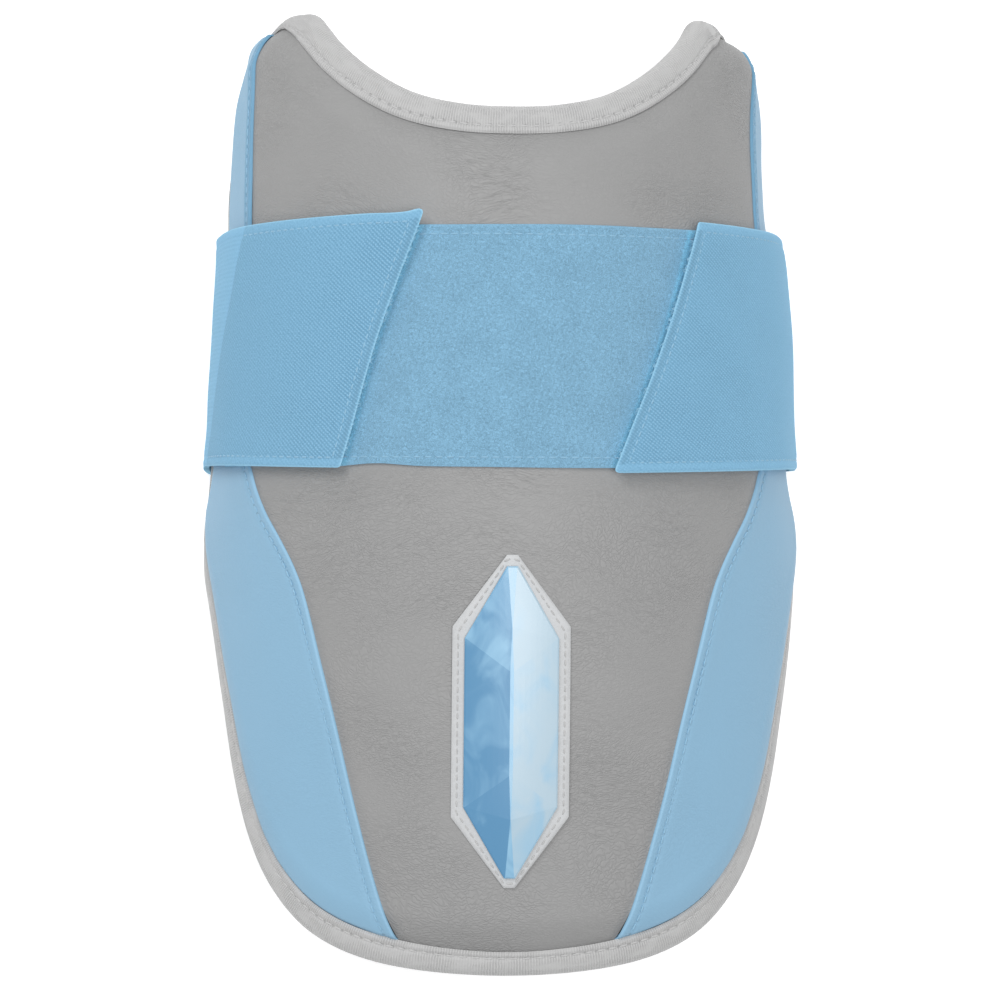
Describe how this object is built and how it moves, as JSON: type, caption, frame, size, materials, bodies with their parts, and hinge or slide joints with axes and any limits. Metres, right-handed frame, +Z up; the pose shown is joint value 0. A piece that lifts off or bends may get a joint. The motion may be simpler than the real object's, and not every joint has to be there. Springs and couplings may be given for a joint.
{
  "type": "elbow guard",
  "caption": "Padded half-pipe elbow guard in leather panels with a taped edge, a scooped top, and a wide elastic strap that fastens across the front.",
  "frame": {"origin": "on the surface that the guard lies on, under the middle of its length and width", "axes": "+Z up from the open side to the crest, +Y along the arm towards the scooped upper end, +X to the right seen from above with the scooped end away"},
  "size_m": [0.1618, 0.2463, 0.0729],
  "materials": {
    "pad": "fabric-faced foam pad",
    "grey_leather": "fine-grained grey synthetic leather",
    "blue_leather": "fine-grained light blue synthetic leather",
    "binding_tape": "ribbed pale grey tape",
    "loop_fabric": "light blue loop pile",
    "elastic": "light blue woven elastic",
    "hook_fabric": "light blue hook fabric",
    "badge_border": "pale grey patch",
    "badge_face": "pale blue moulded face"
  },
  "bodies": {
    "root": {"pad_shell": "pad", "front_cover": "grey_leather", "side_cover_left": "blue_leather", "side_cover_right": "blue_leather", "edge_binding": "binding_tape", "loop_panel": "loop_fabric", "strap": "elastic", "hook_patch_left": "hook_fabric", "hook_patch_right": "hook_fabric", "badge_patch": "badge_border", "badge_inlay": "badge_face"}
  },
  "joints": []
}
